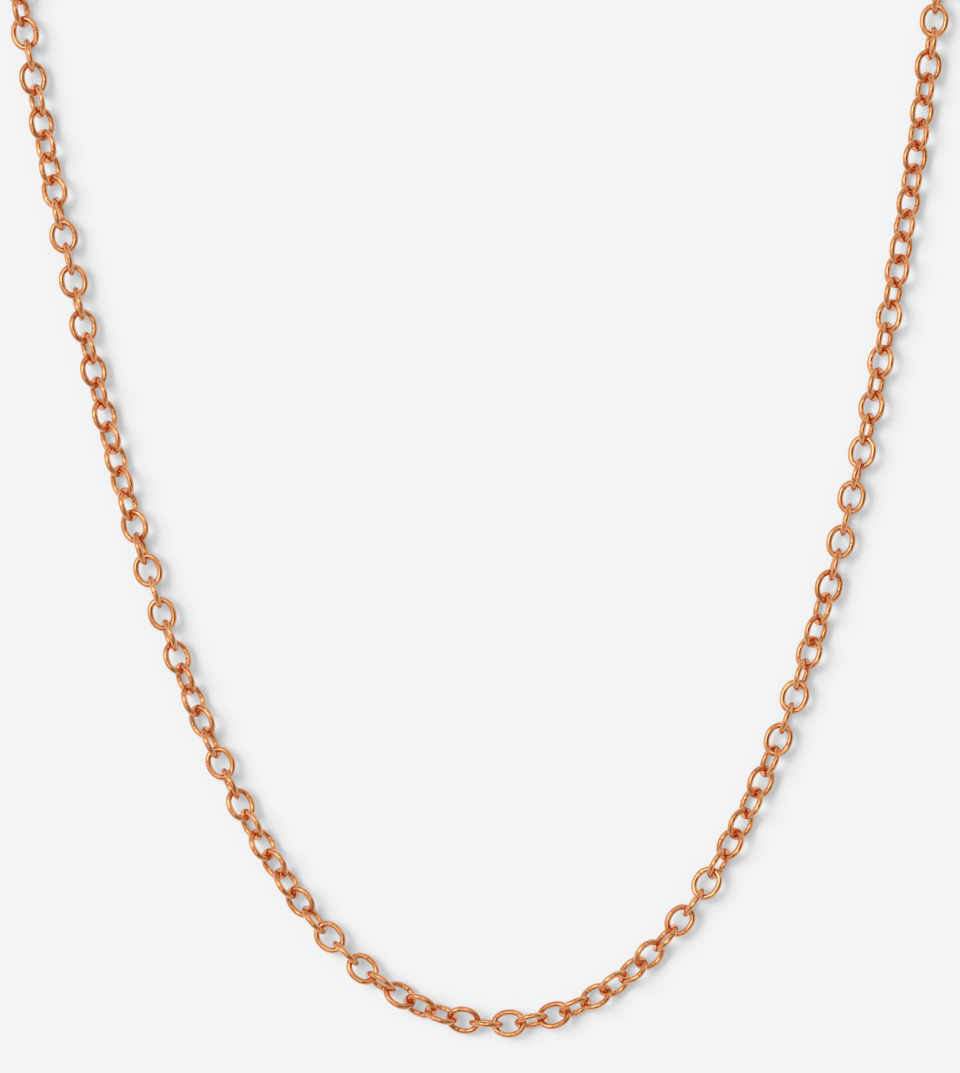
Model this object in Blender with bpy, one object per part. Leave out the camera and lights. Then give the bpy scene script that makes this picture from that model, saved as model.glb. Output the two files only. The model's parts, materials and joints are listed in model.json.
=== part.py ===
"""Oval cable-chain necklace, unclasped and laid flat in its hanging curve.

Frame: metres, +Z up off the table, +Y from the lowest point of the curve
towards the two ends, origin under the middle of the whole necklace.

The chain is 138 oval wire links.  Three neighbouring links share one solid,
a run, and every run hooks through the next one and turns on its end wire.
Each end carries an upright jump ring: on +X a lobster clasp with a sprung
lever, on -X a closed end ring that the clasp hooks into.
"""
import math

import bmesh
import bpy
from mathutils import Matrix, Vector

MM = 0.001

# ---- links ---------------------------------------------------------------
WIRE = 0.84 * MM                 # drawn wire
LINK_LENGTH = 4.88 * MM          # outside
LINK_WIDTH = 4.08 * MM           # outside
PITCH = LINK_LENGTH - 2 * WIRE   # one link to the next, pulled straight
LINKS = 138
LINKS_PER_RUN = 3
RUNS = LINKS // LINKS_PER_RUN
ROOT_RUN = RUNS // 2
LINK_SEGMENTS = 10
WIRE_SIDES = 5
WIRE_FACET_R = 0.45 * MM         # corner radius of the faceted wire
JOINED_PITCH = PITCH + 0.15 * MM     # inside a run: pulled until the wires bite
# Runs keep their true spacing, so the hooks between them hang 0.3 mm slack.

# ---- the curve the chain takes ---------------------------------------------
CATENARY = 24.5 * MM             # sag parameter
LEAN = math.radians(1.33)        # the whole curve leans a little to one side
LOWEST_LINK = 68.685             # where along the links the curve bottoms out
AXIS_HEIGHT = 2.12 * MM          # links that stand on edge touch the table

# ---- twist of the chain: (link, degrees), turning one way from end to end.
# Even links stand at the twist itself and odd links a quarter turn on, so a
# multiple of 90 shows one link flat and the next on edge, and 45 shows both
# half open.
TWIST = (
    (0, 180), (17, 30), (20, -20), (24, -47), (27, -90), (33, -113),
    (38, -135), (42, -180), (44, -182), (49, -235), (51, -268), (54, -303),
    (58, -328), (60, -360), (62, -370), (66, -417), (69, -462), (74, -494),
    (79, -540), (83, -589), (86, -604), (87, -630), (89, -636), (92, -680),
    (95, -718), (98, -722), (102, -750), (106, -750), (111, -774),
    (116, -778), (119, -811), (137, -990),
)

# ---- slack left where the chain was laid down: (link, mm further along).
SLACK = ((0, 0.0), (30, 0.08), (46, 0.05), (62, -0.12), (80, -0.40),
         (92, -0.36), (108, -0.10), (137, 0.0))

# ---- jump rings and end ring -------------------------------------------------
JUMP_R = 1.60 * MM               # centre line
JUMP_WIRE_R = 0.41 * MM          # corner radius of its faceted wire
JUMP_HOOK = 0.90 * MM            # wire centre to wire centre where it hooks
RING_R = 2.20 * MM               # end ring centre line
RING_WIRE_R = 0.48 * MM          # corner radius of its faceted wire
RING_NEAR_Z = 1.65 * MM
RING_FAR_Z = 0.50 * MM

# ---- lobster clasp, (u, v) from the middle of its eye ------------------------
CLASP_THICK = 2.60 * MM
EYE_HOLE_R = 0.92 * MM
EYE_R = 1.40 * MM
EYE_THICK = 0.60 * MM
EYE_FROM_RING = 1.30 * MM        # jump ring centre to eye centre
SHELL_U, SHELL_A, SHELL_B = 5.40 * MM, 4.40 * MM, 2.70 * MM
MOUTH_U, MOUTH_A, MOUTH_B = 6.40 * MM, 2.10 * MM, 1.40 * MM
PIN_U, PIN_V = 3.50 * MM, -0.60 * MM
PIN_R = 0.35 * MM
PIN_HOLE_R = 0.44 * MM
SLOT = 1.10 * MM
LEVER_THICK = 0.86 * MM
HUB_R = 0.78 * MM
LEVER_TRAVEL = 20.0              # degrees, into the mouth

ROSE_GOLD = (0.80, 0.43, 0.24, 1.0)
SPRING_STEEL = (0.62, 0.60, 0.58, 1.0)


# ==== the curve ===============================================================
def along(s):
    """Point and heading of the curve at arc length s from its lowest link."""
    x = CATENARY * math.asinh(s / CATENARY)
    y = math.hypot(CATENARY, s) - CATENARY
    heading = math.atan2(s, CATENARY) + LEAN
    c, k = math.cos(LEAN), math.sin(LEAN)
    return Vector((x * c - y * k, x * k + y * c, AXIS_HEIGHT)), heading


def between(stations, link):
    for (l0, v0), (l1, v1) in zip(stations, stations[1:]):
        if link <= l1:
            return v0 + (v1 - v0) * (link - l0) / (l1 - l0)
    return stations[-1][1]


def arc_of(link):
    return PITCH * (link - LOWEST_LINK) + between(SLACK, link) * MM


def twist_of(link):
    return between(TWIST, link)


def roll_of(link):
    return math.radians(twist_of(link) + (90.0 if link % 2 else 0.0))


def axes_at(heading, roll):
    """Along the chain, across the link, and out of the link's plane."""
    t = Vector((math.cos(heading), math.sin(heading), 0.0))
    inside = Vector((-t.y, t.x, 0.0))
    up = Vector((0.0, 0.0, 1.0))
    w = inside * math.cos(roll) + up * math.sin(roll)
    n = up * math.cos(roll) - inside * math.sin(roll)
    return t, w, n


def link_frame(link, pitch):
    """Link placed from the middle link of its run, which keeps its true place."""
    middle = LINKS_PER_RUN * (link // LINKS_PER_RUN) + 1
    s = arc_of(middle) + (link - middle) * pitch
    point, heading = along(s)
    return (point, *axes_at(heading, roll_of(link)))


def end_wire(link, side):
    """Centre of the wire at the end of a link, pulled to its true pitch."""
    point, t, w, _ = link_frame(link, PITCH)
    return point + t * side * (LINK_LENGTH - WIRE) / 2, w


# ==== meshes ==================================================================
def loop_wire(bm, centres, normal, radius, sides):
    """A closed loop of straight facets with mitred corners and a flat inside."""
    n = len(centres)
    middle = sum(centres, Vector()) / n
    rings = []
    for k in range(n):
        before = (centres[k] - centres[k - 1]).normalized()
        after = (centres[(k + 1) % n] - centres[k]).normalized()
        out = (before - after).normalized()
        if out.dot(centres[k] - middle) < 0:
            out = -out
        stretch = 1 / math.sqrt((1 + before.dot(after)) / 2)
        ring = []
        for j in range(sides):
            a = 2 * math.pi * j / sides
            ring.append(bm.verts.new(
                centres[k] + out * radius * math.cos(a) * stretch
                + normal * radius * math.sin(a)))
        rings.append(ring)
    for k in range(n):
        here, there = rings[k], rings[(k + 1) % n]
        for j in range(sides):
            bm.faces.new((here[j], here[(j + 1) % sides],
                          there[(j + 1) % sides], there[j]))
    bmesh.ops.recalc_face_normals(bm, faces=bm.faces)


def link_mesh(link):
    point, t, w, n = link_frame(link, JOINED_PITCH)
    a = (LINK_LENGTH - WIRE) / 2 / math.cos(math.pi / LINK_SEGMENTS)
    b = (LINK_WIDTH - WIRE) / 2
    centres = []
    for k in range(LINK_SEGMENTS):
        g = 2 * math.pi * (k + 0.5) / LINK_SEGMENTS
        centres.append(point + t * a * math.cos(g) + w * b * math.sin(g))
    bm = bmesh.new()
    loop_wire(bm, centres, n, WIRE_FACET_R, WIRE_SIDES)
    return finished(bm, f"link_{link:03d}")


def ring_mesh(name, point, t, w, radius, wire_r, segments, sides):
    n = t.cross(w)
    a = radius / math.cos(math.pi / segments)
    centres = [point + t * a * math.cos(g) + w * a * math.sin(g)
               for g in (2 * math.pi * (k + 0.5) / segments for k in range(segments))]
    bm = bmesh.new()
    loop_wire(bm, centres, n, wire_r, sides)
    return finished(bm, name)


def finished(bm, name):
    mesh = bpy.data.meshes.new(name)
    bm.to_mesh(mesh)
    bm.free()
    return mesh


def prism(name, outline, low, high):
    """Outline in (u, v), counter-clockwise, between two heights."""
    bm = bmesh.new()
    bottom = [bm.verts.new((u, v, low)) for u, v in outline]
    top = [bm.verts.new((u, v, high)) for u, v in outline]
    bm.faces.new(list(reversed(bottom)))
    bm.faces.new(top)
    n = len(outline)
    for k in range(n):
        bm.faces.new((bottom[k], bottom[(k + 1) % n], top[(k + 1) % n], top[k]))
    bmesh.ops.recalc_face_normals(bm, faces=bm.faces)
    return finished(bm, name)


def oval(cu, a, b, first, last, count):
    """Points on an oval centred at (cu, 0), between two angles in degrees."""
    return [(cu + a * math.cos(g), b * math.sin(g))
            for g in (math.radians(first + (last - first) * k / (count - 1))
                      for k in range(count))]


def disc(cu, cv, r, count):
    return [(cu + r * math.cos(g), cv + r * math.sin(g))
            for g in (2 * math.pi * (k + 0.5) / count for k in range(count))]


# ==== objects =================================================================
def material(name, colour, roughness):
    m = bpy.data.materials.new(name)
    m.use_nodes = True
    shader = m.node_tree.nodes["Principled BSDF"]
    shader.inputs["Base Color"].default_value = colour
    shader.inputs["Metallic"].default_value = 1.0
    shader.inputs["Roughness"].default_value = roughness
    return m


def add(name, mesh, mat=None):
    o = bpy.data.objects.new(name, mesh)
    bpy.context.scene.collection.objects.link(o)
    if mat is not None:
        mesh.materials.append(mat)
    return o


def combine(o, other_mesh, operation):
    """Applies one exact Boolean, and removes the cutter after it."""
    cutter = add(o.name + "_cutter", other_mesh)
    cutter.matrix_world = o.matrix_world
    cutter.hide_render, cutter.display_type = True, "WIRE"
    boolean = o.modifiers.new("cut", "BOOLEAN")
    boolean.operation, boolean.object, boolean.solver = operation, cutter, "EXACT"
    bpy.context.view_layer.update()
    graph = bpy.context.evaluated_depsgraph_get()
    result = bpy.data.meshes.new_from_object(o.evaluated_get(graph), depsgraph=graph)
    o.modifiers.remove(boolean)
    old, o.data = o.data, result
    result.name = o.name
    bpy.data.objects.remove(cutter)
    bpy.data.meshes.remove(old)
    if other_mesh.users == 0:
        bpy.data.meshes.remove(other_mesh)


def pivot(o, at, axis):
    """Moves an object's origin onto its joint, with its local Z along the axis."""
    turn = axis.to_track_quat("Z", "Y").to_matrix().to_4x4()
    place = Matrix.Translation(at) @ turn
    o.data.transform(place.inverted() @ o.matrix_world)
    o.matrix_world = place


def ride(child, parent):
    bpy.context.view_layer.update()
    child.parent = parent
    child.matrix_parent_inverse = parent.matrix_world.inverted()


def smooth(o, degrees=50):
    o.data.shade_smooth()
    o.data.set_sharp_from_angle(angle=math.radians(degrees))


# ==== chain ===================================================================
def run_name(run):
    side = "left" if run < ROOT_RUN else "right"
    n = ROOT_RUN - run if run < ROOT_RUN else run - ROOT_RUN
    return "chain_run_bottom" if n == 0 else f"chain_run_{side}_{n:02d}"


def hinge_of(run):
    """Pivot and axis between a run and the one nearer the bottom.

    The pin is the end wire of one of the two links that hook together.
    Joints take turns: an upright pin, which lets the chain bend in its own
    curve, then a level pin, which lets it drape.  The sense of the axis
    alternates too, in pairs, so equal turns of all joints give a zigzag.
    """
    side = 1 if run > ROOT_RUN else -1
    mine = LINKS_PER_RUN * run + (0 if side > 0 else LINKS_PER_RUN - 1)
    theirs = mine - side
    step = abs(run - ROOT_RUN)
    upright = step % 2 == 1
    candidates = []
    for link, end in ((mine, -side), (theirs, side)):
        at, w = end_wire(link, end)
        t = axes_at(along(arc_of(link))[1], 0.0)
        want = Vector((0, 0, 1)) if upright else t[1]
        candidates.append((abs(w.dot(want)), at, w if w.dot(want) > 0 else -w))
    _, at, axis = max(candidates, key=lambda c: c[0])
    sense = 1 if ((step - 1) // 2) % 2 == 0 else -1
    return at, axis * sense


def build_chain(mat):
    runs = []
    for run in range(RUNS):
        first = LINKS_PER_RUN * run
        o = add(run_name(run), link_mesh(first), mat)
        for link in range(first + 1, first + LINKS_PER_RUN):
            combine(o, link_mesh(link), "UNION")
        if run == ROOT_RUN:
            point, t, _, _ = link_frame(first + 1, PITCH)
            pivot(o, point, Vector((0, 0, 1)))
        else:
            pivot(o, *hinge_of(run))
        smooth(o)
        runs.append(o)
    for run in range(ROOT_RUN + 1, RUNS):
        ride(runs[run], runs[run - 1])
    for run in range(ROOT_RUN - 1, -1, -1):
        ride(runs[run], runs[run + 1])
    return runs


# ==== ends ====================================================================
def end_frame(side):
    """Wire centre at the free end of the last link, heading outwards, and across."""
    link = LINKS - 1 if side > 0 else 0
    at, _ = end_wire(link, side)
    _, heading = along(arc_of(link))
    t = Vector((math.cos(heading), math.sin(heading), 0.0)) * side
    return at, t, Vector((0, 0, 1)).cross(t)


def build_jump_ring(name, side, mat, last):
    at, t, across = end_frame(side)
    centre = at + t * (JUMP_R - JUMP_HOOK)
    o = add(name, ring_mesh(name, centre, t, Vector((0, 0, 1)), JUMP_R,
                            JUMP_WIRE_R, 14, WIRE_SIDES), mat)
    pivot(o, at, across)
    smooth(o)
    ride(o, last)
    return o, centre, t


def build_end_ring(mat, jump, centre, t):
    """Closed ring through the jump ring, its far side down on the table."""
    drop = RING_NEAR_Z - RING_FAR_Z
    slope = math.asin(drop / (2 * RING_R))
    down = t * math.cos(slope) - Vector((0, 0, 1)) * math.sin(slope)
    near = centre + t * 0.42 * MM
    near.z = RING_NEAR_Z
    middle = near + down * RING_R
    across = Vector((0, 0, 1)).cross(t)
    o = add("end_ring", ring_mesh("end_ring", middle, down, across, RING_R,
                                  RING_WIRE_R, 16, 6), mat)
    rise = AXIS_HEIGHT - RING_NEAR_Z
    at = centre + t * math.sqrt(JUMP_R ** 2 - rise ** 2)
    at.z = RING_NEAR_Z
    pivot(o, at, down.cross(across))
    smooth(o)
    ride(o, jump)
    return o


def clasp_shell():
    """Teardrop shell with its claw, open on the lever's side."""
    outer = oval(SHELL_U, SHELL_A, SHELL_B, -56, 232, 25)
    inner = oval(MOUTH_U, MOUTH_A, MOUTH_B, 215, -34, 17)
    return outer + inner


def clasp_slot():
    back, front, root = 2.0 * MM, 5.6 * MM, 4.0 * MM
    side = 3.6 * MM
    return [(back, -side), (front, -side), (front, 0.5 * MM), (root, 0.5 * MM),
            (root, side), (back, side)]


def clasp_lever():
    """Gate arm on one side of the pin, thumb tab on the other."""
    outer = oval(SHELL_U, SHELL_A - 0.06 * MM, SHELL_B - 0.06 * MM, -124, -59, 9)
    inner = oval(SHELL_U, SHELL_A - 0.95 * MM, SHELL_B - 0.90 * MM, -46, -112, 7)
    return outer + inner + [(PIN_U + 0.65 * MM, PIN_V - 0.3 * MM),
                            (PIN_U - 0.6 * MM, PIN_V - 0.3 * MM)]


def clasp_tab():
    u, v = PIN_U, PIN_V
    return [(u - 0.55 * MM, v), (u + 0.45 * MM, v),
            (3.70 * MM, 1.90 * MM), (3.62 * MM, 2.75 * MM), (3.40 * MM, 3.15 * MM),
            (3.05 * MM, 3.20 * MM), (2.86 * MM, 2.80 * MM), (3.00 * MM, 1.90 * MM)]


def spring_leaf():
    """Bowed leaf between the back of the slot and the lever."""
    outer, inner = [], []
    for k in range(9):
        g = -1 + 2 * k / 8
        u = 2.16 * MM + 0.46 * MM * (1 - g * g)
        v = 0.10 * MM + 0.82 * MM * g
        outer.append((u, v))
        inner.append((u - 0.13 * MM, v * 0.985))
    return inner[::-1] + outer


def build_clasp(metal, steel, jump, centre, t):
    half = CLASP_THICK / 2
    shell = add("clasp_body", prism("clasp_body", clasp_shell(), -half, half), metal)
    bevel = shell.modifiers.new("edge", "BEVEL")
    bevel.width, bevel.segments, bevel.limit_method = 0.42 * MM, 2, "ANGLE"
    bevel.angle_limit = math.radians(60)
    bevel.harden_normals = False
    bpy.context.view_layer.update()
    graph = bpy.context.evaluated_depsgraph_get()
    rounded = bpy.data.meshes.new_from_object(shell.evaluated_get(graph), depsgraph=graph)
    shell.modifiers.remove(bevel)
    shell.data = rounded
    combine(shell, prism("eye", disc(0, 0, EYE_R, 16), -EYE_THICK / 2, EYE_THICK / 2), "UNION")
    combine(shell, prism("eye_hole", disc(0, 0, EYE_HOLE_R, 14), -2 * half, 2 * half), "DIFFERENCE")
    combine(shell, prism("slot", clasp_slot(), -SLOT / 2, SLOT / 2), "DIFFERENCE")
    combine(shell, prism("pin_hole", disc(PIN_U, PIN_V, PIN_HOLE_R, 12), -2 * half, 2 * half), "DIFFERENCE")

    lever = add("clasp_lever", prism("clasp_lever", clasp_lever(), -LEVER_THICK / 2, LEVER_THICK / 2), metal)
    combine(lever, prism("hub", disc(PIN_U, PIN_V, HUB_R, 12), -LEVER_THICK / 2, LEVER_THICK / 2), "UNION")
    combine(lever, prism("tab", clasp_tab(), -LEVER_THICK / 2, LEVER_THICK / 2), "UNION")
    combine(lever, prism("lever_hole", disc(PIN_U, PIN_V, PIN_HOLE_R, 12), -2 * half, 2 * half), "DIFFERENCE")

    pin = add("clasp_pivot_pin", prism("clasp_pivot_pin", disc(PIN_U, PIN_V, PIN_R, 12),
                                       -half + 0.05 * MM, half - 0.05 * MM), steel)
    leaf = add("clasp_spring", prism("clasp_spring", spring_leaf(), -0.35 * MM, 0.35 * MM), steel)

    eye = centre + t * EYE_FROM_RING
    eye.z = half
    across = Vector((0, 0, 1)).cross(t)
    place = Matrix((
        (t.x, across.x, 0, eye.x),
        (t.y, across.y, 0, eye.y),
        (0, 0, 1, eye.z),
        (0, 0, 0, 1)))
    for o in (shell, lever, pin, leaf):
        o.matrix_world = place
    at = centre + t * math.sqrt(JUMP_R ** 2 - (AXIS_HEIGHT - half) ** 2)
    at.z = half
    pivot(shell, at, Vector((0, 0, 1)))
    on_pin = place @ Vector((PIN_U, PIN_V, 0))
    pivot(lever, on_pin, Vector((0, 0, 1)))
    pivot(pin, on_pin, Vector((0, 0, 1)))
    smooth(shell, 40)
    smooth(pin, 40)
    ride(shell, jump)
    ride(lever, shell)
    ride(pin, shell)
    ride(leaf, shell)
    return shell, lever, pin, leaf


# ==== whole ===================================================================
def settle(objects, root):
    """Puts the origin under the middle of the whole necklace, table at z = 0."""
    bpy.context.view_layer.update()
    low, high = [1e9] * 3, [-1e9] * 3
    for o in objects:
        for vertex in o.data.vertices:
            p = o.matrix_world @ vertex.co
            for k in range(3):
                low[k], high[k] = min(low[k], p[k]), max(high[k], p[k])
    root.location += Vector((-(low[0] + high[0]) / 2, -(low[1] + high[1]) / 2, -low[2]))
    bpy.context.view_layer.update()


def main():
    for o in list(bpy.data.objects):
        bpy.data.objects.remove(o, do_unlink=True)
    gold = material("rose_gold_wire", ROSE_GOLD, 0.16)
    clasp_gold = material("rose_gold_clasp", ROSE_GOLD, 0.22)
    ring_gold = material("rose_gold_ring", ROSE_GOLD, 0.18)
    steel = material("spring_steel", SPRING_STEEL, 0.30)
    runs = build_chain(gold)
    clasp_jump, centre, t = build_jump_ring("clasp_jump_ring", 1, ring_gold, runs[-1])
    clasp = build_clasp(clasp_gold, steel, clasp_jump, centre, t)
    end_jump, centre, t = build_jump_ring("end_jump_ring", -1, ring_gold, runs[0])
    end_ring = build_end_ring(ring_gold, end_jump, centre, t)
    settle([*runs, clasp_jump, *clasp, end_jump, end_ring], runs[ROOT_RUN])


main()
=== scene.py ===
import json
import math

import bmesh
import bpy
import numpy as np
from mathutils import Matrix, Vector


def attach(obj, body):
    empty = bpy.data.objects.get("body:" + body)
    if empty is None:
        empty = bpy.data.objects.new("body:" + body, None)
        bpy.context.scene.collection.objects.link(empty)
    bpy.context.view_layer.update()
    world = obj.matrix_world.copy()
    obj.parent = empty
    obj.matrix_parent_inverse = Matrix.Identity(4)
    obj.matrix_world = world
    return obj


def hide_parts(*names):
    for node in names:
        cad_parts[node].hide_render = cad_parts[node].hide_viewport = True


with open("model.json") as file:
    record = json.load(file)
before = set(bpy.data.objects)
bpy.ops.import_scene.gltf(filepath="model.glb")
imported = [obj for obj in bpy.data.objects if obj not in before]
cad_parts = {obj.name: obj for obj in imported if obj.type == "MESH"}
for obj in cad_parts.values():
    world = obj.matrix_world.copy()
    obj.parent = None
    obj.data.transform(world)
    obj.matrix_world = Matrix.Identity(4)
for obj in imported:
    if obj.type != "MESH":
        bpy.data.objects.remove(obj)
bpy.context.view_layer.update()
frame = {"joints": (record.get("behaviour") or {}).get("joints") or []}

MM = 0.001

# ==== dimensions, the same as the frame's =====================================
WIRE = 0.84 * MM
LINK_LENGTH = 4.88 * MM
LINK_WIDTH = 4.08 * MM
PITCH = LINK_LENGTH - 2 * WIRE
LINKS = 138
LINKS_PER_RUN = 3
RUNS = LINKS // LINKS_PER_RUN
ROOT_RUN = RUNS // 2

CATENARY = 24.5 * MM
LEAN = math.radians(1.33)
LOWEST_LINK = 68.685
AXIS_HEIGHT = 2.12 * MM

TWIST = (
    (0, 180), (17, 30), (20, -20), (24, -47), (27, -90), (33, -113),
    (38, -135), (42, -180), (44, -182), (49, -235), (51, -268), (54, -303),
    (58, -328), (60, -360), (62, -370), (66, -417), (69, -462), (74, -494),
    (79, -540), (83, -589), (86, -604), (87, -630), (89, -636), (92, -680),
    (95, -718), (98, -722), (102, -750), (106, -750), (111, -774),
    (116, -778), (119, -811), (137, -990),
)

SLACK = ((0, 0.0), (30, 0.08), (46, 0.05), (62, -0.12), (80, -0.40),
         (92, -0.36), (108, -0.10), (137, 0.0))

JUMP_R = 1.60 * MM
JUMP_HOOK = 0.90 * MM
RING_R = 2.20 * MM
RING_WIRE = 0.45 * MM
RING_NEAR_Z = 1.65 * MM
RING_FAR_Z = 0.50 * MM

CLASP_THICK = 2.60 * MM
EYE_HOLE_R = 0.92 * MM
EYE_R = 1.40 * MM
EYE_THICK = 0.60 * MM
EYE_FROM_RING = 1.30 * MM
SHELL_U, SHELL_A, SHELL_B = 5.40 * MM, 4.40 * MM, 2.70 * MM
MOUTH_U, MOUTH_A, MOUTH_B = 6.40 * MM, 2.10 * MM, 1.40 * MM
PIN_U, PIN_V = 3.50 * MM, -0.60 * MM
PIN_R = 0.35 * MM
PIN_HOLE_R = 0.44 * MM
SLOT = 1.10 * MM
LEVER_THICK = 0.86 * MM
HUB_R = 0.78 * MM


# ==== the curve ===============================================================
def along(s):
    x = CATENARY * math.asinh(s / CATENARY)
    y = math.hypot(CATENARY, s) - CATENARY
    heading = math.atan2(s, CATENARY) + LEAN
    c, k = math.cos(LEAN), math.sin(LEAN)
    return Vector((x * c - y * k, x * k + y * c, AXIS_HEIGHT)), heading


def between(stations, link):
    for (l0, v0), (l1, v1) in zip(stations, stations[1:]):
        if link <= l1:
            return v0 + (v1 - v0) * (link - l0) / (l1 - l0)
    return stations[-1][1]


def arc_of(link):
    return PITCH * (link - LOWEST_LINK) + between(SLACK, link) * MM


def twist_of(link):
    return between(TWIST, link)


def roll_of(link):
    return math.radians(twist_of(link) + (90.0 if link % 2 else 0.0))


def axes_at(heading, roll):
    t = Vector((math.cos(heading), math.sin(heading), 0.0))
    inside = Vector((-t.y, t.x, 0.0))
    up = Vector((0.0, 0.0, 1.0))
    w = inside * math.cos(roll) + up * math.sin(roll)
    n = up * math.cos(roll) - inside * math.sin(roll)
    return t, w, n


def link_frame(link):
    """Every link of a run stands where it would on a straight pull from the run's middle."""
    middle = LINKS_PER_RUN * (link // LINKS_PER_RUN) + 1
    point, heading = along(arc_of(middle) + (link - middle) * PITCH)
    return (point, *axes_at(heading, roll_of(link)))


def run_name(run):
    side = "left" if run < ROOT_RUN else "right"
    n = ROOT_RUN - run if run < ROOT_RUN else run - ROOT_RUN
    return "chain_run_bottom" if n == 0 else f"chain_run_{side}_{n:02d}"


def end_wire(link, side):
    point, t, w, _ = link_frame(link)
    return point + t * side * (LINK_LENGTH - WIRE) / 2, w


def frame_shift():
    """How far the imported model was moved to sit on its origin: one joint's place against its formula."""
    link = LINKS - 1
    at, _ = end_wire(link, 1)
    pos = next(j["pos_m"] for j in frame["joints"] if j["name"] == "clasp_ring_hook")
    return Vector(pos) - at


SHIFT = frame_shift()


def rng_of(*key):
    return np.random.default_rng([7, *key])


# ==== materials ===============================================================
class Nodes:
    """Short hand for building a node tree."""

    def __init__(self, tree):
        self.tree = tree
        tree.nodes.clear()

    def node(self, kind, **inputs):
        n = self.tree.nodes.new(kind)
        for name, value in inputs.items():
            if name.startswith("_"):
                setattr(n, name[1:], value)
        for name, value in inputs.items():
            if not name.startswith("_"):
                self.set(n, name, value)
        return n

    def set(self, n, name, value):
        socket = n.inputs[int(name[1:])] if name[0] == "i" and name[1:].isdigit() else n.inputs[name.replace("_", " ")]
        if isinstance(value, bpy.types.NodeSocket):
            self.tree.links.new(value, socket)
        else:
            socket.default_value = value

    def math(self, op, a, b=None, c=None, clamp=False):
        n = self.tree.nodes.new("ShaderNodeMath")
        n.operation, n.use_clamp = op, clamp
        for k, v in enumerate((a, b, c)):
            if v is not None:
                self.set(n, f"i{k}", v)
        return n.outputs[0]

    def vmath(self, op, a, b=None):
        n = self.tree.nodes.new("ShaderNodeVectorMath")
        n.operation = op
        self.set(n, "i0", a)
        if b is not None:
            self.set(n, "i1", b)
        return n.outputs["Value" if op in ("DOT_PRODUCT", "LENGTH") else "Vector"]

    def mix(self, factor, a, b, kind="RGBA", blend="MIX"):
        n = self.tree.nodes.new("ShaderNodeMix")
        n.data_type = kind
        if kind == "RGBA":
            n.blend_type = blend
            ins, out = ("Factor", 6, 7), 2
            self.tree.links.new(factor, n.inputs[0]) if isinstance(factor, bpy.types.NodeSocket) else setattr(n.inputs[0], "default_value", factor)
            self.set(n, "i6", a)
            self.set(n, "i7", b)
            return n.outputs[2]
        self.set(n, "i0", factor)
        self.set(n, "i2", a)
        self.set(n, "i3", b)
        return n.outputs[0]

    def remap(self, value, low, high, to_low=0.0, to_high=1.0, smooth=True):
        n = self.tree.nodes.new("ShaderNodeMapRange")
        n.interpolation_type = "SMOOTHSTEP" if smooth else "LINEAR"
        n.clamp = True if not smooth else n.clamp
        for k, v in enumerate((value, low, high, to_low, to_high)):
            self.set(n, f"i{k}", v)
        return n.outputs[0]

    def noise(self, vector, scale, detail=2.0, rough=0.5, w=None, dims="3D"):
        n = self.tree.nodes.new("ShaderNodeTexNoise")
        n.noise_dimensions = "4D" if w is not None else dims
        self.set(n, "Vector", vector)
        if w is not None:
            self.set(n, "W", w)
        self.set(n, "Scale", scale)
        self.set(n, "Detail", detail)
        self.set(n, "Roughness", rough)
        return n.outputs["Fac"]


GOLD_DEEP = (0.730, 0.245, 0.068, 1)
GOLD_MID = (0.800, 0.322, 0.106, 1)
GOLD_PALE = (0.855, 0.395, 0.158, 1)
# oxide colour for the seam and the pits, also used as painted shade at the hook ends where the links hook together
GOLD_OXIDE_AND_SHADE = (0.560, 0.140, 0.040, 1.0)


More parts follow.
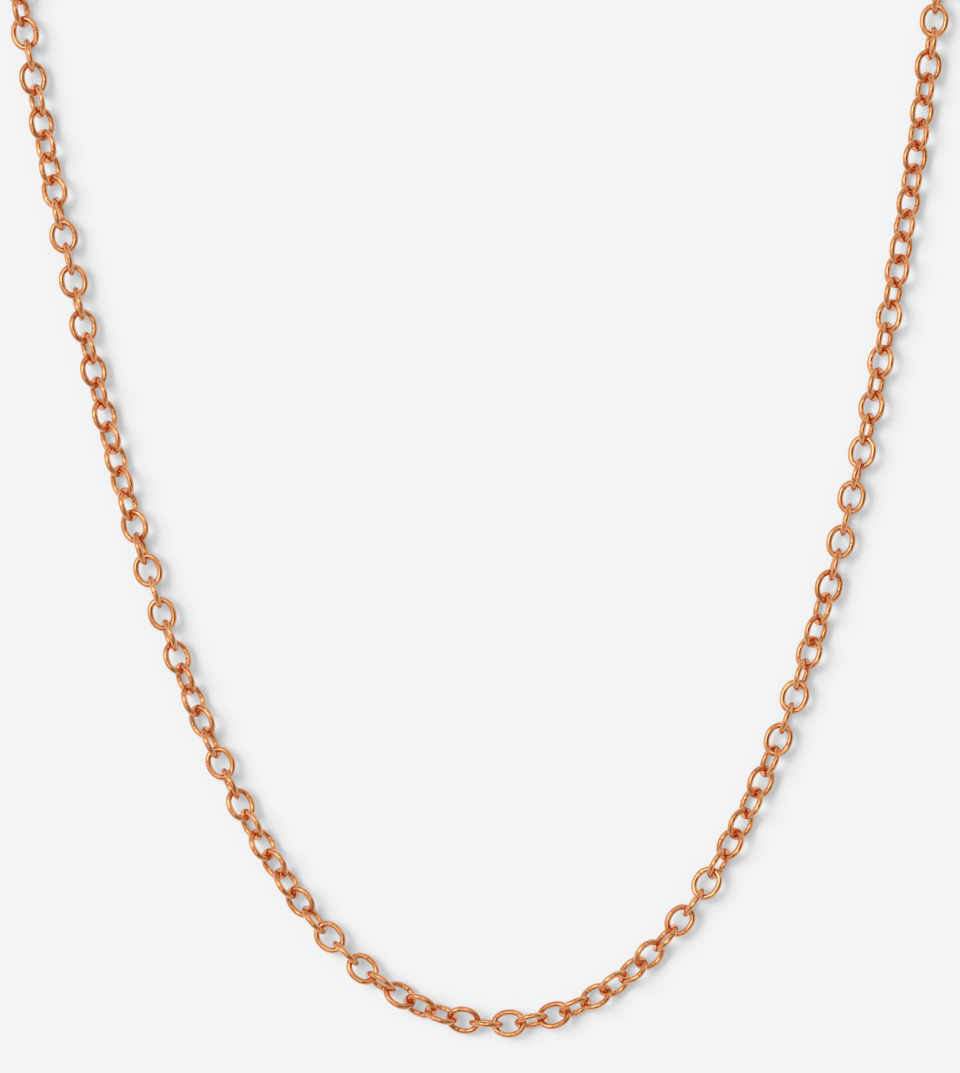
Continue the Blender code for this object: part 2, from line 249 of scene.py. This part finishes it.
def gold_material(name, wire=True, roughness=0.12):
    """Polished rose gold: drawn-wire lines, soft tone changes, oxide and painted shade at the hooks, a solder seam and
    fine pits.
    """
    m = bpy.data.materials.new(name)
    m.use_nodes = True
    m.diffuse_color = GOLD_MID
    g = Nodes(m.node_tree)
    coords = g.node("ShaderNodeTexCoord").outputs["Object"]

    tone = g.noise(coords, 260.0, 2.0, 0.55)
    fine = g.noise(coords, 2600.0, 3.0, 0.6)
    if wire:
        tube = g.node("ShaderNodeAttribute", _attribute_name="tube").outputs["Vector"]
        loop = g.node("ShaderNodeAttribute", _attribute_name="loop").outputs["Vector"]
        marks = g.node("ShaderNodeAttribute", _attribute_name="marks").outputs["Vector"]
        split = g.node("ShaderNodeSeparateXYZ", Vector=marks)
        link_tone, hook_oxide_and_shade, seam = split.outputs
        lsplit = g.node("ShaderNodeSeparateXYZ", Vector=loop)
        lines_at = g.vmath("ADD", g.vmath("MULTIPLY", tube, (9.0, 9.0, 9.0)),
                           g.node("ShaderNodeCombineXYZ", X=g.math("MULTIPLY", lsplit.outputs[0], 0.55),
                                  Y=g.math("MULTIPLY", link_tone, 31.0)).outputs[0])
        lines = g.noise(lines_at, 1.0, 2.0, 0.6, w=g.math("MULTIPLY", lsplit.outputs[1], 0.55))
        broad = g.noise(g.vmath("ADD", g.vmath("MULTIPLY", tube, (0.8, 0.8, 0.8)),
                                g.vmath("MULTIPLY", loop, (1.9, 1.9, 1.9))), 1.0, 2.0, 0.5,
                        w=g.math("MULTIPLY", link_tone, 17.0))
    else:
        lines = g.noise(g.vmath("MULTIPLY", coords, (1.0, 1.0, 6.0)), 900.0, 2.0, 0.6)
        broad = g.noise(coords, 420.0, 2.0, 0.5)
        link_tone, hook_oxide_and_shade, seam = 0.5, 0.0, 0.0

    pits = g.node("ShaderNodeTexVoronoi", Vector=coords, Scale=2300.0)
    pit = g.remap(pits.outputs["Distance"], 0.02, 0.20, 1.0, 0.0)
    sparse = g.remap(g.noise(coords, 700.0, 1.0), 0.60, 0.70)
    pit = g.math("MULTIPLY", pit, sparse)

    colour = g.mix(g.remap(tone, 0.30, 0.70), GOLD_MID, GOLD_PALE)
    if wire:
        colour = g.mix(g.math("MULTIPLY", link_tone, 0.45), colour, GOLD_DEEP)
        # oxide and painted shade where the links hook together: the colour darkens towards the oxide colour at the
        # hook ends
        colour = g.mix(g.math("MULTIPLY", hook_oxide_and_shade, 0.55), colour, GOLD_OXIDE_AND_SHADE)
        colour = g.mix(g.math("MULTIPLY", seam, 0.45), colour, GOLD_OXIDE_AND_SHADE)
    colour = g.mix(g.math("MULTIPLY", g.remap(fine, 0.45, 0.75), 0.25), colour, GOLD_DEEP)
    colour = g.mix(g.math("MULTIPLY", pit, 0.6), colour, GOLD_OXIDE_AND_SHADE)

    rough = g.math("MULTIPLY_ADD", lines, 0.06, roughness - 0.03)
    rough = g.math("MULTIPLY_ADD", fine, 0.05, rough)
    if wire:
        rough = g.math("MULTIPLY_ADD", hook_oxide_and_shade, 0.06, rough)
        rough = g.math("MULTIPLY_ADD", seam, 0.10, rough)
    rough = g.math("MULTIPLY_ADD", pit, 0.20, rough, clamp=True)

    height = g.math("MULTIPLY", broad, 2.2 if wire else 1.0)
    height = g.math("MULTIPLY_ADD", lines, 0.10, height)
    height = g.math("MULTIPLY_ADD", fine, 0.08, height)
    height = g.math("MULTIPLY_ADD", pit, -0.45, height)
    if wire:
        height = g.math("MULTIPLY_ADD", seam, -0.55, height)
    bump = g.node("ShaderNodeBump", Strength=0.60, Distance=0.030 * MM, Height=height)

    shader = g.node("ShaderNodeBsdfPrincipled", Base_Color=colour, Metallic=1.0, Roughness=rough,
                    Normal=bump.outputs[0], IOR=1.5, Coat_Weight=1.0, Coat_Roughness=0.05, Coat_IOR=1.65)
    out = g.node("ShaderNodeOutputMaterial", Surface=shader.outputs[0])
    return m


def steel_material(name):
    m = bpy.data.materials.new(name)
    m.use_nodes = True
    g = Nodes(m.node_tree)
    coords = g.node("ShaderNodeTexCoord").outputs["Object"]
    grain = g.noise(g.vmath("MULTIPLY", coords, (1.0, 1.0, 9.0)), 1500.0, 2.0, 0.6)
    tone = g.noise(coords, 500.0, 2.0, 0.5)
    colour = g.mix(g.remap(tone, 0.3, 0.7), (0.50, 0.48, 0.46, 1), (0.66, 0.63, 0.60, 1))
    rough = g.math("MULTIPLY_ADD", grain, 0.25, 0.18)
    bump = g.node("ShaderNodeBump", Strength=0.5, Distance=0.02 * MM, Height=grain)
    shader = g.node("ShaderNodeBsdfPrincipled", Base_Color=colour, Metallic=1.0, Roughness=rough,
                    Normal=bump.outputs[0])
    g.node("ShaderNodeOutputMaterial", Surface=shader.outputs[0])
    return m


# ==== meshes ==================================================================
def tube_loop(centres, outs, ups, radii, sides):
    """Vertices and faces of a closed tube: one row of points for each centre."""
    n = len(centres)
    v = 2 * np.pi * np.arange(sides) / sides
    cv, sv = np.cos(v), np.sin(v)
    pts = (centres[:, None, :] + radii[:, :, None]
           * (outs[:, None, :] * cv[None, :, None] + ups[:, None, :] * sv[None, :, None]))
    k = np.arange(n)[:, None]
    j = np.arange(sides)[None, :]
    k2, j2 = (k + 1) % n, (j + 1) % sides
    quads = np.stack([k * sides + j, k * sides + j2, k2 * sides + j2, k2 * sides + j], -1).reshape(-1, 4)
    return pts.reshape(-1, 3), quads


def wire_loop(point, t, w, n, a, b, wire_r, seed, sides=16, base=56, seam_at=None, cut=False,
              wobble=0.022 * MM, power=2.12, facet=0.010, hook_angles=(0.0, math.pi), out_of_plane=1.0):
    """One link or ring: an oval centre line with a real loop's small faults, a seam, and its marks."""
    rng = rng_of(*seed)
    if seam_at is None:
        seam_at = float(rng.choice([-1, 1])) * math.pi / 2 + rng.uniform(-0.55, 0.55)
    extra = np.array([-0.20, -0.12, -0.07, -0.035, 0.0, 0.035, 0.07, 0.12, 0.20]) + seam_at
    grid = 2 * np.pi * np.arange(base) / base
    near = np.abs((grid - seam_at + np.pi) % (2 * np.pi) - np.pi) < 0.16
    g = np.sort(np.concatenate([grid[~near], extra % (2 * np.pi)]))
    cg, sg = np.cos(g), np.sin(g)
    squash = (np.abs(cg) ** power + np.abs(sg) ** power) ** (-1 / power)
    u, v = a * cg * squash, b * sg * squash
    v *= 1 + rng.normal(0, 0.012)
    v += rng.normal(0, 0.010) * MM * cg ** 3
    v += wobble * 0.5 * np.sin(2 * g + rng.uniform(0, 6.28))
    h = wobble * out_of_plane * (np.sin(2 * g + rng.uniform(0, 6.28)) * (1 - cg ** 4))
    delta = (g - seam_at + np.pi) % (2 * np.pi) - np.pi
    h = h + 0.018 * MM * out_of_plane * rng.normal() * np.sign(delta) * np.exp(-(delta / 0.5) ** 2) * (np.abs(delta) > 1e-6)
    T, W, N, P = (np.array(q) for q in (t, w, n, point))
    centres = P + u[:, None] * T + v[:, None] * W + h[:, None] * N
    tangent = np.roll(centres, -1, 0) - np.roll(centres, 1, 0)
    tangent /= np.linalg.norm(tangent, axis=1)[:, None]
    outs = np.cross(tangent, N)
    outs /= np.linalg.norm(outs, axis=1)[:, None]
    ups = np.cross(outs, tangent)
    ring = 2 * np.pi * np.arange(sides) / sides
    radii = np.full((len(g), sides), wire_r)
    bead = 0.030 * np.exp(-(delta / 0.13) ** 2) - (0.10 if cut else 0.045) * np.exp(-(delta / 0.022) ** 2)
    radii *= 1 + bead[:, None]
    for _ in range(3):
        at, ang = rng.uniform(0, 2 * np.pi), rng.uniform(0, 2 * np.pi)
        d = np.abs((g - at + np.pi) % (2 * np.pi) - np.pi)
        e = np.abs((ring - ang + np.pi) % (2 * np.pi) - np.pi)
        radii *= 1 - rng.uniform(0.5, 2.0) * facet * np.exp(-(d[:, None] / 0.30) ** 2 - (e[None, :] / 0.65) ** 2)
    pts, quads = tube_loop(centres, outs, ups, radii, sides)
    # mask at the hook ends for oxide and painted shade where the neighbouring links hook in
    hook_oxide_and_shade = np.zeros((len(g), sides))
    for at in hook_angles:
        d = np.abs((g - at + np.pi) % (2 * np.pi) - np.pi)
        e = np.abs((ring - np.pi + np.pi) % (2 * np.pi) - np.pi)
        hook_oxide_and_shade = np.maximum(hook_oxide_and_shade, np.exp(-(d[:, None] / 0.42) ** 2) * np.exp(-((np.pi - e[None, :]) / 1.1) ** 2))
    seam = np.exp(-(delta / 0.045) ** 2)[:, None] * np.ones((1, sides))
    tone = np.full((len(g), sides), rng.uniform())
    marks = np.stack([tone, hook_oxide_and_shade, seam], -1).reshape(-1, 3)
    tubes = np.stack([np.broadcast_to(np.cos(ring), hook_oxide_and_shade.shape), np.broadcast_to(np.sin(ring), hook_oxide_and_shade.shape),
                      np.zeros(hook_oxide_and_shade.shape)], -1).reshape(-1, 3)
    loops = np.stack([np.broadcast_to(cg[:, None], hook_oxide_and_shade.shape), np.broadcast_to(sg[:, None], hook_oxide_and_shade.shape),
                      np.zeros(hook_oxide_and_shade.shape)], -1).reshape(-1, 3)
    return pts, quads, marks, tubes, loops


def piece_from(name, parts, mat):
    """One object from several loops."""
    points, faces, marks, tubes, loops, start = [], [], [], [], [], 0
    for pts, quads, mk, tb, lp in parts:
        points.append(pts)
        faces.append(quads + start)
        marks.append(mk)
        tubes.append(tb)
        loops.append(lp)
        start += len(pts)
    points, faces = np.concatenate(points), np.concatenate(faces)
    mesh = bpy.data.meshes.new(name)
    mesh.from_pydata(points.tolist(), [], faces.tolist())
    for label, data in (("marks", marks), ("tube", tubes), ("loop", loops)):
        attr = mesh.attributes.new(label, "FLOAT_VECTOR", "POINT")
        attr.data.foreach_set("vector", np.concatenate(data).astype(np.float32).ravel())
    mesh.materials.append(mat)
    bm = bmesh.new()
    bm.from_mesh(mesh)
    bmesh.ops.recalc_face_normals(bm, faces=bm.faces)
    bm.to_mesh(mesh)
    bm.free()
    mesh.shade_smooth()
    mesh.update()
    o = bpy.data.objects.new(name, mesh)
    bpy.context.scene.collection.objects.link(o)
    return o


def stand_for(o, node, body):
    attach(o, body)
    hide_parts(node)


# ==== chain ===================================================================
def link_loop(link):
    rng = rng_of(11, link)
    point, t, w, n = link_frame(link)
    point = point + SHIFT
    a = (LINK_LENGTH - WIRE) / 2
    b = (LINK_WIDTH - WIRE) / 2
    tilt = math.radians(rng.normal(0, 2.2))
    w, n = w * math.cos(tilt) + n * math.sin(tilt), n * math.cos(tilt) - w * math.sin(tilt)
    return wire_loop(point, t, w, n, a + 0.015 * MM, b, WIRE / 2 - 0.006 * MM, (3, link), power=2.0 + 0.16 * rng.uniform())


chain_gold = gold_material("chain_gold_wire", True, 0.05)
for run in range(RUNS):
    node = run_name(run)
    body = node.replace("chain_run_", "")
    links = [link_loop(LINKS_PER_RUN * run + k) for k in range(LINKS_PER_RUN)]
    piece = piece_from("links_" + body, links, chain_gold)
    stand_for(piece, node, body)

# ==== rings ===================================================================
ring_gold = gold_material("fitting_gold_ring", True, 0.12)


def end_frame(side):
    link = LINKS - 1 if side > 0 else 0
    at, _ = end_wire(link, side)
    middle = LINKS_PER_RUN * (link // LINKS_PER_RUN) + 1
    _, heading = along(arc_of(middle) + (link - middle) * PITCH)
    t = Vector((math.cos(heading), math.sin(heading), 0.0)) * side
    return at + SHIFT, t, Vector((0, 0, 1)).cross(t)


def jump_ring(name, side):
    at, t, across = end_frame(side)
    centre = at + t * (JUMP_R - JUMP_HOOK)
    loop = wire_loop(centre, t, Vector((0, 0, 1)), across, JUMP_R, JUMP_R, 0.38 * MM, (5, side + 2),
                     cut=True, seam_at=1.9, power=2.0, wobble=0.010 * MM)
    return piece_from(name, [loop], ring_gold), centre, t


clasp_ring, clasp_centre, clasp_t = jump_ring("jump_ring_clasp", 1)
stand_for(clasp_ring, "clasp_jump_ring", "clasp_ring")
end_jump, end_centre, end_t = jump_ring("jump_ring_end", -1)
stand_for(end_jump, "end_jump_ring", "end_jump")

drop = RING_NEAR_Z - RING_FAR_Z
slope = math.asin(drop / (2 * RING_R))
down = end_t * math.cos(slope) - Vector((0, 0, 1)) * math.sin(slope)
near = end_centre + end_t * 0.42 * MM
near.z = RING_NEAR_Z + SHIFT.z
ring_mid = near + down * RING_R
ring_across = Vector((0, 0, 1)).cross(end_t)
end_loop = wire_loop(ring_mid, down, ring_across, down.cross(ring_across), RING_R, RING_R, RING_WIRE, (9, 1),
                     sides=20, base=72, power=2.0, wobble=0.008 * MM, hook_angles=(math.pi,))
end_ring = piece_from("clasp_catch_ring", [end_loop], ring_gold)
stand_for(end_ring, "end_ring", "end")


# ==== clasp ===================================================================
def prism(name, outline, low, high):
    bm = bmesh.new()
    bottom = [bm.verts.new((u, v, low)) for u, v in outline]
    top = [bm.verts.new((u, v, high)) for u, v in outline]
    bm.faces.new(list(reversed(bottom)))
    bm.faces.new(top)
    n = len(outline)
    for k in range(n):
        bm.faces.new((bottom[k], bottom[(k + 1) % n], top[(k + 1) % n], top[k]))
    bmesh.ops.recalc_face_normals(bm, faces=bm.faces)
    mesh = bpy.data.meshes.new(name)
    bm.to_mesh(mesh)
    bm.free()
    return mesh


def oval(cu, a, b, first, last, count):
    return [(cu + a * math.cos(g), b * math.sin(g))
            for g in (math.radians(first + (last - first) * k / (count - 1)) for k in range(count))]


def disc(cu, cv, r, count):
    return [(cu + r * math.cos(g), cv + r * math.sin(g))
            for g in (2 * math.pi * (k + 0.5) / count for k in range(count))]


def add(name, mesh):
    o = bpy.data.objects.new(name, mesh)
    bpy.context.scene.collection.objects.link(o)
    return o


def bake(o):
    """Applies the object's modifiers."""
    bpy.context.view_layer.update()
    graph = bpy.context.evaluated_depsgraph_get()
    result = bpy.data.meshes.new_from_object(o.evaluated_get(graph), depsgraph=graph)
    o.modifiers.clear()
    old, o.data = o.data, result
    bpy.data.meshes.remove(old)


def bevelled(o, width, segments, angle=40):
    m = o.modifiers.new("edge", "BEVEL")
    m.width, m.segments, m.limit_method = width, segments, "ANGLE"
    m.angle_limit = math.radians(angle)
    bake(o)


def cut(o, mesh, operation="DIFFERENCE"):
    cutter = add(o.name + "_cutter", mesh)
    m = o.modifiers.new("cut", "BOOLEAN")
    m.operation, m.object, m.solver = operation, cutter, "EXACT"
    bake(o)
    bpy.data.objects.remove(cutter)


half = CLASP_THICK / 2
shell_outline = oval(SHELL_U, SHELL_A, SHELL_B, -56, 232, 73) + oval(MOUTH_U, MOUTH_A, MOUTH_B, 215, -34, 49)
shell = add("clasp_shell", prism("clasp_shell", shell_outline, -half, half))
bevelled(shell, 0.42 * MM, 5, 60)
eye = add("clasp_eye", prism("clasp_eye", disc(0, 0, EYE_R, 48), -EYE_THICK / 2, EYE_THICK / 2))
bevelled(eye, 0.16 * MM, 3, 40)
cut(shell, eye.data.copy(), "UNION")
bpy.data.objects.remove(eye)
cut(shell, prism("eye_hole", disc(0, 0, EYE_HOLE_R, 40), -2 * half, 2 * half))
back, front, root, side = 2.0 * MM, 5.6 * MM, 4.0 * MM, 3.6 * MM
cut(shell, prism("slot", [(back, -side), (front, -side), (front, 0.5 * MM), (root, 0.5 * MM),
                          (root, side), (back, side)], -SLOT / 2, SLOT / 2))
cut(shell, prism("pin_hole", disc(PIN_U, PIN_V, PIN_HOLE_R, 32), -2 * half, 2 * half))

lever_outline = (oval(SHELL_U, SHELL_A - 0.06 * MM, SHELL_B - 0.06 * MM, -124, -59, 25)
                 + oval(SHELL_U, SHELL_A - 0.95 * MM, SHELL_B - 0.90 * MM, -46, -112, 21)
                 + [(PIN_U + 0.65 * MM, PIN_V - 0.3 * MM), (PIN_U - 0.6 * MM, PIN_V - 0.3 * MM)])
lever = add("clasp_gate", prism("clasp_gate", lever_outline, -LEVER_THICK / 2, LEVER_THICK / 2))
cut(lever, prism("hub", disc(PIN_U, PIN_V, HUB_R, 32), -LEVER_THICK / 2, LEVER_THICK / 2), "UNION")
tab_outline = [(PIN_U - 0.55 * MM, PIN_V), (PIN_U + 0.45 * MM, PIN_V)] + [
    (3.70 * MM, 1.90 * MM), (3.67 * MM, 2.40 * MM), (3.62 * MM, 2.75 * MM), (3.54 * MM, 3.00 * MM),
    (3.40 * MM, 3.15 * MM), (3.22 * MM, 3.21 * MM), (3.05 * MM, 3.20 * MM), (2.92 * MM, 3.04 * MM),
    (2.86 * MM, 2.80 * MM), (2.90 * MM, 2.40 * MM), (3.00 * MM, 1.90 * MM)]
cut(lever, prism("tab", tab_outline, -LEVER_THICK / 2, LEVER_THICK / 2), "UNION")
cut(lever, prism("lever_hole", disc(PIN_U, PIN_V, PIN_HOLE_R, 32), -2 * half, 2 * half))
bevelled(lever, 0.10 * MM, 3, 50)

pin = add("clasp_rivet", prism("clasp_rivet", disc(PIN_U, PIN_V, PIN_R, 40), -half + 0.02 * MM, half - 0.02 * MM))
bevelled(pin, 0.06 * MM, 3, 40)


def spring_outline(count=33):
    outer, inner = [], []
    for k in range(count):
        g = -1 + 2 * k / (count - 1)
        u = 2.16 * MM + 0.46 * MM * (1 - g * g)
        v = 0.10 * MM + 0.82 * MM * g
        outer.append((u, v))
        inner.append((u - 0.13 * MM, v * 0.985))
    return inner[::-1] + outer


leaf = add("clasp_leaf", prism("clasp_leaf", spring_outline(), -0.35 * MM, 0.35 * MM))
bevelled(leaf, 0.03 * MM, 2, 50)

eye_at = clasp_centre + clasp_t * EYE_FROM_RING
eye_at.z = half + SHIFT.z
clasp_across = Vector((0, 0, 1)).cross(clasp_t)
place = Matrix(((clasp_t.x, clasp_across.x, 0, eye_at.x),
                (clasp_t.y, clasp_across.y, 0, eye_at.y),
                (0, 0, 1, eye_at.z),
                (0, 0, 0, 1)))
clasp_gold = gold_material("fitting_gold_cast", False, 0.16)
steel = steel_material("spring_steel_leaf")
for o, node, body, slot, mat in ((shell, "clasp_body", "clasp", "fitting_gold", clasp_gold),
                                 (lever, "clasp_lever", "lever", "fitting_gold", clasp_gold),
                                 (pin, "clasp_pivot_pin", "clasp", "fitting_gold", clasp_gold),
                                 (leaf, "clasp_spring", "clasp", "spring_steel", steel)):
    o.data.transform(place)
    o.data.materials.clear()
    o.data.materials.append(mat)
    o.data.shade_smooth()
    o.data.set_sharp_from_angle(angle=math.radians(38))
    stand_for(o, node, body)


# ==== studio ==================================================================
floor_mesh = bpy.data.meshes.new("table_top")
half_floor = 12.0
floor_mesh.from_pydata([(-half_floor, -half_floor, 0), (half_floor, -half_floor, 0),
                        (half_floor, half_floor, 0), (-half_floor, half_floor, 0)], [], [(0, 1, 2, 3)])
floor = bpy.data.objects.new("table_top", floor_mesh)
bpy.context.scene.collection.objects.link(floor)
floor_mat = bpy.data.materials.new("table_paper")
floor_mat.use_nodes = True
f = Nodes(floor_mat.node_tree)
FLOOR_ALBEDO = 0.36                           # frosted panel, also lit evenly from below
TOTAL = 1.70 * math.pi                        # light falling on the table
PAPER = 0.95                                  # the table's level away from the necklace
FLOOR_GLOW = PAPER - TOTAL / math.pi * FLOOR_ALBEDO
floor_shader = f.node("ShaderNodeBsdfPrincipled", Base_Color=(FLOOR_ALBEDO, FLOOR_ALBEDO, FLOOR_ALBEDO, 1),
                      Roughness=1.0, Specular_IOR_Level=0.0, Emission_Color=(1.0, 1.0, 1.0, 1),
                      Emission_Strength=FLOOR_GLOW)
f.node("ShaderNodeOutputMaterial", Surface=floor_shader.outputs[0])
floor_mesh.materials.append(floor_mat)

KEY_TAN_X, KEY_TAN_Y = 0.74, -0.25
KEY_ANGLE = math.radians(40)

world = bpy.data.worlds.new("studio")
world.use_nodes = True
bpy.context.scene.world = world
s = Nodes(world.node_tree)
direction = s.vmath("NORMALIZE", s.node("ShaderNodeTexCoord").outputs["Generated"])
BASE = 0.66
level = BASE
# Soft boxes and gaps between them:
# (azimuth from +X, height above the table, inner and outer half-width in degrees; change of level)
KEY_BOX = (160, 63)                           # this one is a daylight tube, the rest are neutral
PATCHES = (
    (160, 63, 8, 13, 3.00),
    (150, 62, 16, 34, 0.30),
    (-4, 44, 14, 26, -0.46),
    (-25, 71, 6, 10, -0.58),
    (-90, 50, 10, 18, -0.56),
    (-95, 79, 5, 8, 2.00),
    (75, 72, 5, 8, 1.80),
    (88, 56, 5, 9, -0.50),
    (185, 20, 12, 24, 0.35),
    (85, 42, 6, 13, 0.55),
    (100, 24, 8, 15, -0.40),
    (30, 18, 8, 16, 0.35),
)
for azimuth, height, inner, outer, change in PATCHES:
    az, el = math.radians(azimuth), math.radians(height)
    at = (math.cos(az) * math.cos(el), math.sin(az) * math.cos(el), math.sin(el))
    near_it = s.remap(s.vmath("DOT_PRODUCT", direction, at),
                      math.cos(math.radians(outer)), math.cos(math.radians(inner)))
    level = s.math("MULTIPLY_ADD", near_it, change, level)
    if (azimuth, height) == KEY_BOX:
        tint = s.mix(near_it, (1.0, 1.0, 1.0, 1.0), (0.86, 1.0, 1.22, 1.0))


def world_level(d):
    """The same pattern in numpy, to know how much light it sends to the table."""
    total = np.full(len(d), BASE)
    for azimuth, height, inner, outer, change in PATCHES:
        az, el = math.radians(azimuth), math.radians(height)
        at = np.array((math.cos(az) * math.cos(el), math.sin(az) * math.cos(el), math.sin(el)))
        lo, hi = math.cos(math.radians(outer)), math.cos(math.radians(inner))
        q = np.clip((d @ at - lo) / (hi - lo), 0, 1)
        total += change * q * q * (3 - 2 * q)
    return total


rings, spokes = 90, 180
zen = (np.arange(rings) + 0.5) / rings * math.pi / 2
azi = (np.arange(spokes) + 0.5) / spokes * 2 * math.pi
Z, A = np.meshgrid(zen, azi, indexing="ij")
D = np.stack([np.sin(Z) * np.cos(A), np.sin(Z) * np.sin(A), np.cos(Z)], -1).reshape(-1, 3)
weight = (np.cos(Z) * np.sin(Z)).ravel() * (math.pi / 2 / rings) * (2 * math.pi / spokes)
fill = float((world_level(D) * weight).sum())
lit = s.node("ShaderNodeBackground", Color=tint, Strength=level)
plain = s.node("ShaderNodeBackground", Color=(PAPER, PAPER, PAPER, 1.0), Strength=1.0)
seen = s.node("ShaderNodeLightPath").outputs["Is Camera Ray"]
both = s.node("ShaderNodeMixShader", i0=seen, i1=lit.outputs[0], i2=plain.outputs[0])
s.node("ShaderNodeOutputWorld", Surface=both.outputs[0])

# The key light's soft box, without its reflection: the world's pattern holds that.
key_dir = Vector((KEY_TAN_X, KEY_TAN_Y, -1.0)).normalized()
key_data = bpy.data.lights.new("key_softbox", "SUN")
key_data.angle = KEY_ANGLE
key_data.energy = (TOTAL - fill) / abs(key_dir.z)
key_data.color = (1.0, 1.0, 1.0)
key = bpy.data.objects.new("key_softbox", key_data)
key.rotation_mode = "QUATERNION"
key.rotation_quaternion = key_dir.to_track_quat("-Z", "Y")
key.visible_glossy = False
bpy.context.scene.collection.objects.link(key)

# ==== camera ==================================================================
VIEW_WIDTH, VIEW_HEIGHT = 133.73 * MM, 149.48 * MM
DISTANCE = 1.6
centre = Vector((-3.26 * MM + SHIFT.x, 67.87 * MM + SHIFT.y, AXIS_HEIGHT))
cam_data = bpy.data.cameras.new("camera")
cam_data.sensor_fit = "AUTO"
cam_data.sensor_width = 36.0
cam_data.lens = 36.0 * DISTANCE / VIEW_HEIGHT
cam_data.clip_start, cam_data.clip_end = 0.05, 60.0
cam = bpy.data.objects.new("camera", cam_data)
cam.location = centre + Vector((0, 0, DISTANCE))
bpy.context.scene.collection.objects.link(cam)
bpy.context.scene.camera = cam

view = bpy.context.scene.view_settings
view.view_transform = "Standard"
view.look = "None"
view.exposure, view.gamma = 0.0, 1.0
# A photographic print curve: a toe that deepens the reflections' dark side, and a long shoulder.
view.use_curve_mapping = True
curves = view.curve_mapping
WHITE = 2.5
curves.white_level = (WHITE, WHITE, WHITE)
curves.black_level = (0.0, 0.0, 0.0)
curve = curves.curves[3]
PRINT = ((0.05, 0.036), (0.15, 0.132), (0.30, 0.295), (0.60, 0.605), (0.95, 0.9131), (1.60, 0.935))
curve.points[0].location = (0.0, 0.0)
curve.points[1].location = (1.0, 0.955)
for x, y in PRINT:
    curve.points.new(x / WHITE, y)
curves.update()

bpy.context.scene.cycles.caustics_reflective = False
